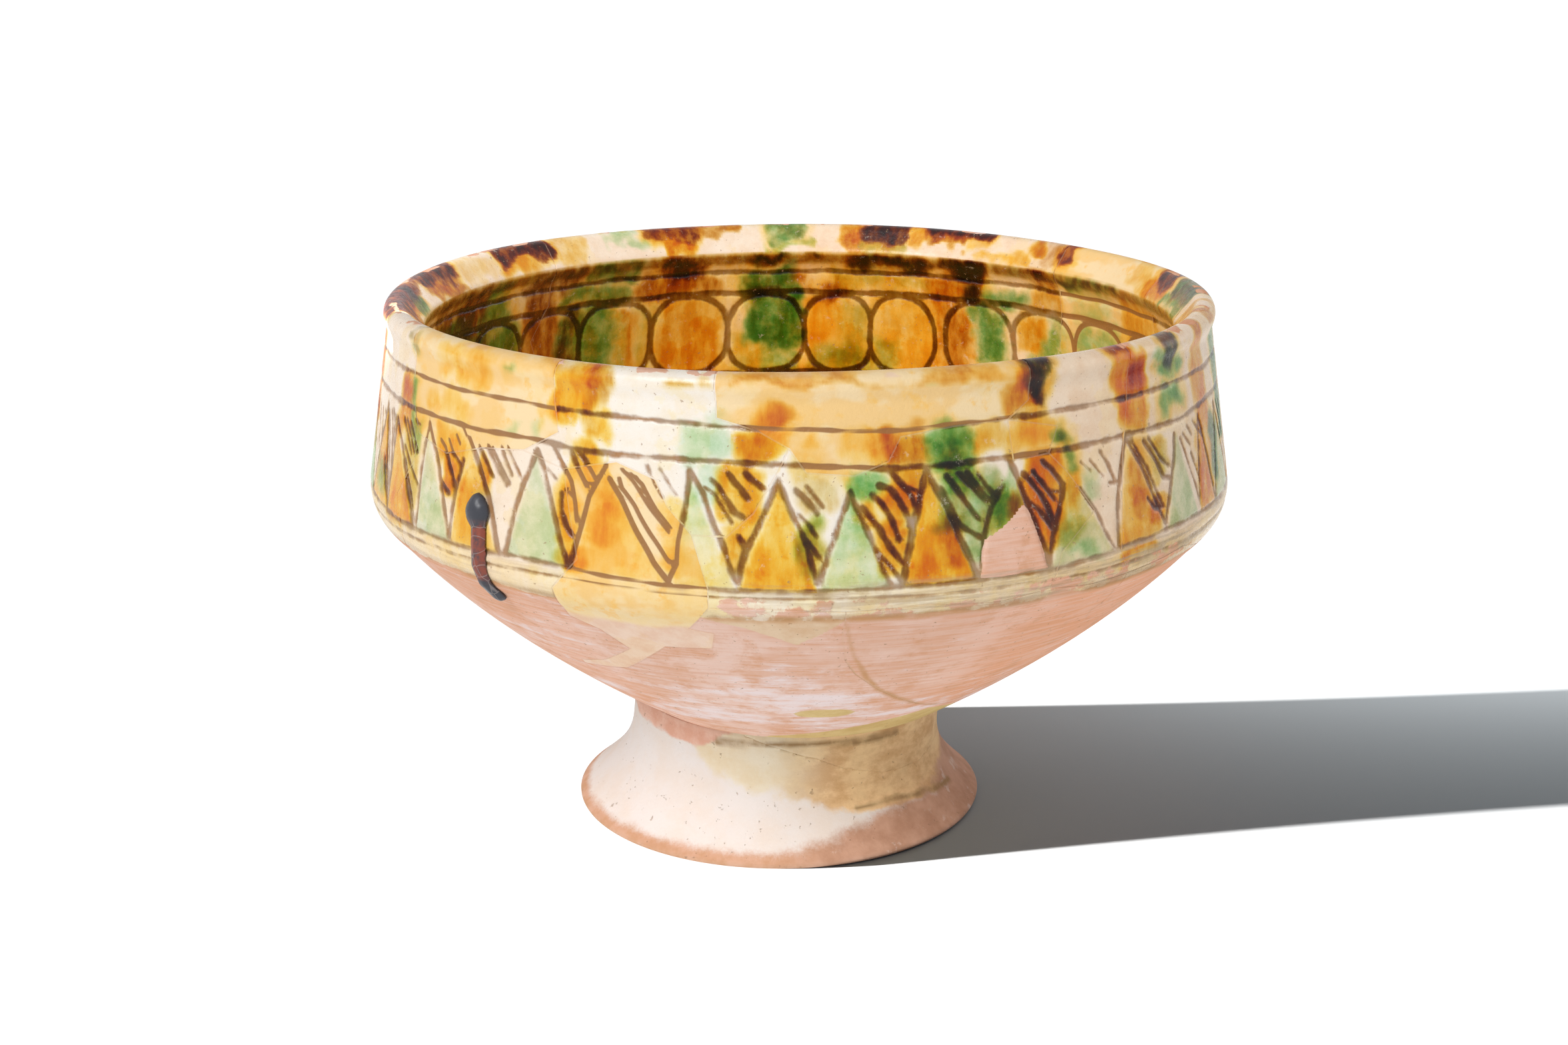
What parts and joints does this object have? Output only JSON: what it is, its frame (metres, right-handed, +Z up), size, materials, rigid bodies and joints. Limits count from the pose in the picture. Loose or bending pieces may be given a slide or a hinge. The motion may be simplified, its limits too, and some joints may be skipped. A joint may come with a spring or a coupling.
{
  "type": "footed bowl",
  "caption": "Carinated earthenware bowl on a flaring foot, with an incised zig-zag frieze and splashed glaze, mended from sherds and plaster fills; holds food or stands for display.",
  "frame": {"origin": "point on the standing plane under the bowl's axis", "axes": "+Z up along the bowl's axis, -Y towards the pictured side, +X to that side's right"},
  "size_m": [0.1682, 0.1682, 0.1062],
  "materials": {
    "glaze": "clear lead glaze over cream slip, splashed with amber, green and brown",
    "clay": "bare salmon-pink earthenware with white salt streaks outside, glazed inside",
    "plaster": "matt plaster fill, toned and painted to match",
    "slip": "matt cream slip, worn to the clay at the edge",
    "drip": "glossy near-black glaze"
  },
  "bodies": {
    "root": {"pedestal_foot": "slip", "foot_joint_fill": "plaster", "left_wall_sherd": "glaze", "back_wall_sherd": "glaze", "right_wall_sherd": "glaze", "right_front_wall_sherd": "glaze", "front_wall_sherd": "glaze", "front_left_rim_sherd": "glaze", "front_left_wall_sherd": "glaze", "left_rim_fill": "plaster", "front_fill": "plaster", "front_rim_fill": "plaster", "wall_patch_fill": "plaster", "right_rim_fill": "plaster", "base_sherd": "clay", "right_lower_sherd": "clay", "back_right_lower_sherd": "clay", "back_lower_sherd": "clay", "left_lower_sherd": "clay", "kiln_drip": "drip"}
  },
  "joints": []
}
